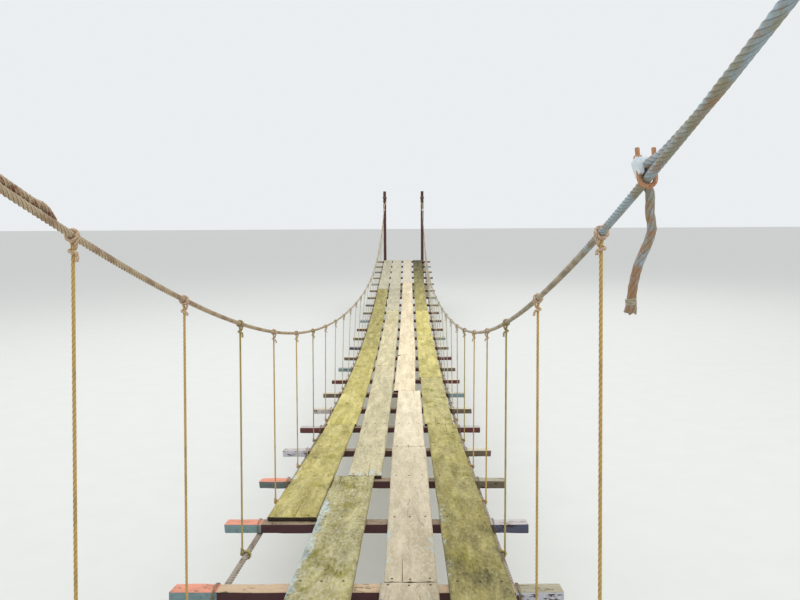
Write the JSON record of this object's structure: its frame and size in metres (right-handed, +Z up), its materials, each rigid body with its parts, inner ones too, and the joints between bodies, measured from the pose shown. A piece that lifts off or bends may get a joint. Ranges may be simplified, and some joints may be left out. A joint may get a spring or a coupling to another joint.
{
  "type": "rope suspension footbridge",
  "caption": "Narrow footbridge: planks laid lengthwise on timber crossbeams that hang from handrail cables by rope hangers, between slender posts with backstays.",
  "frame": {"origin": "mid-span, on the level that the post feet and the anchor blocks stand on", "axes": "+Y along the bridge from the near end to the far end, +Z up, +X to the right"},
  "size_m": [1.7, 30.1448, 3.4604],
  "materials": {
    "beam_timber": "flaking paint over grey timber",
    "plank_timber": "weathered, mossy boards",
    "handrail_rope": "twisted strands, grey with rust",
    "lower_rope": "twisted strands, brown rust",
    "post_timber": "dark stained timber",
    "stay_rope": "twisted strands, rust tan",
    "anchor_concrete": "rough cast concrete",
    "clip_steel": "rusted steel with old pale paint"
  },
  "bodies": {
    "root": {"end_beam_near": "beam_timber", "crossbeam_01": "beam_timber", "crossbeam_02": "beam_timber", "crossbeam_03": "beam_timber", "crossbeam_04": "beam_timber", "crossbeam_05": "beam_timber", "crossbeam_06": "beam_timber", "crossbeam_07": "beam_timber", "crossbeam_08": "beam_timber", "crossbeam_09": "beam_timber", "crossbeam_10": "beam_timber", "crossbeam_11": "beam_timber", "crossbeam_12": "beam_timber", "crossbeam_13": "beam_timber", "crossbeam_14": "beam_timber", "crossbeam_15": "beam_timber", "crossbeam_16": "beam_timber", "crossbeam_17": "beam_timber", "crossbeam_18": "beam_timber", "crossbeam_19": "beam_timber", "crossbeam_20": "beam_timber", "crossbeam_21": "beam_timber", "crossbeam_22": "beam_timber", "crossbeam_23": "beam_timber", "crossbeam_24": "beam_timber", "end_beam_far": "beam_timber", "plank_row_1_near": "plank_timber", "plank_row_1_middle": "plank_timber", "plank_row_1_far": "plank_timber", "plank_row_2_near": "plank_timber", "plank_row_2_middle": "plank_timber", "plank_row_2_far": "plank_timber", "plank_row_3_near": "plank_timber", "plank_row_3_middle": "plank_timber", "plank_row_3_far": "plank_timber", "plank_row_4_near": "plank_timber", "plank_row_4_middle": "plank_timber", "plank_row_4_far": "plank_timber", "handrail_cable_and_hangers_left": "handrail_rope", "handrail_cable_and_hangers_right": "handrail_rope", "lower_cable_left": "lower_rope", "lower_cable_right": "lower_rope", "post_near_left": "post_timber", "post_near_right": "post_timber", "post_far_left": "post_timber", "post_far_right": "post_timber", "backstay_near_left": "stay_rope", "backstay_near_right": "stay_rope", "backstay_far_left": "stay_rope", "backstay_far_right": "stay_rope", "cable_clip_near_left": "clip_steel", "cable_clip_near_right": "clip_steel", "cable_clip_far_left": "clip_steel", "cable_clip_far_right": "clip_steel", "anchor_block_near": "anchor_concrete", "anchor_block_far": "anchor_concrete"}
  },
  "joints": []
}
